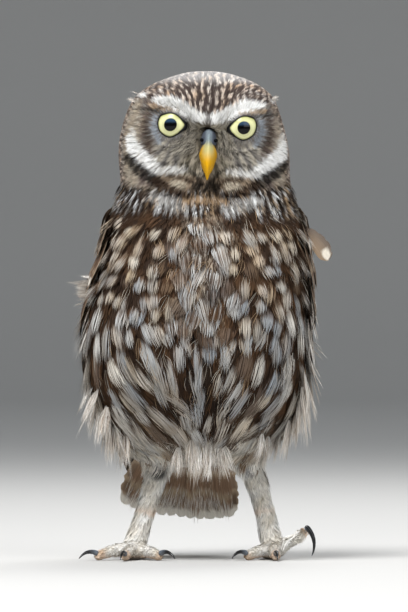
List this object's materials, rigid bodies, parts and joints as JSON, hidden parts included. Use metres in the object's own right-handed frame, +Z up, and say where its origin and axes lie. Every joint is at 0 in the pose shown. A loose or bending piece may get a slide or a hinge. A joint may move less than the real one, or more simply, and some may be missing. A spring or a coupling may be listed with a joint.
{
  "type": "little owl",
  "caption": "Small owl standing upright with folded wings, long feathered legs set apart and one toe lifted, as a still museum model.",
  "frame": {"origin": "on the floor, under the middle of the bird's outline seen from above", "axes": "+Z up, the bird faces -Y, and its own left side is towards +X"},
  "size_m": [0.1087, 0.1065, 0.2098],
  "materials": {
    "face_down": "matt pale and brown face feathers",
    "breast": "matt brown and cream breast feathers",
    "flight_feathers": "smooth dark brown feathers with pale spots",
    "leg_down": "short off-white feathers",
    "bill_horn": "smooth waxy yellow horn",
    "cere_skin": "blue-grey skin",
    "eye": "wet and glossy, pale yellow iris round a black pupil",
    "claw_horn": "smooth blue-black horn"
  },
  "bodies": {
    "root": {"head": "face_down", "neck": "breast", "torso": "breast", "eye_left": "eye", "eye_right": "eye", "bill_upper": "bill_horn", "bill_lower": "bill_horn", "cere": "cere_skin", "wing_left": "flight_feathers", "wing_right": "flight_feathers", "tail": "flight_feathers", "thigh_left": "leg_down", "thigh_right": "leg_down", "tarsus_left": "leg_down", "tarsus_right": "leg_down", "foot_left": "leg_down", "foot_right": "leg_down", "claw_left_outer": "claw_horn", "claw_left_middle": "claw_horn", "claw_left_inner": "claw_horn", "claw_left_hind": "claw_horn", "claw_right_outer": "claw_horn", "claw_right_middle": "claw_horn", "claw_right_inner": "claw_horn", "claw_right_hind": "claw_horn"}
  },
  "joints": []
}
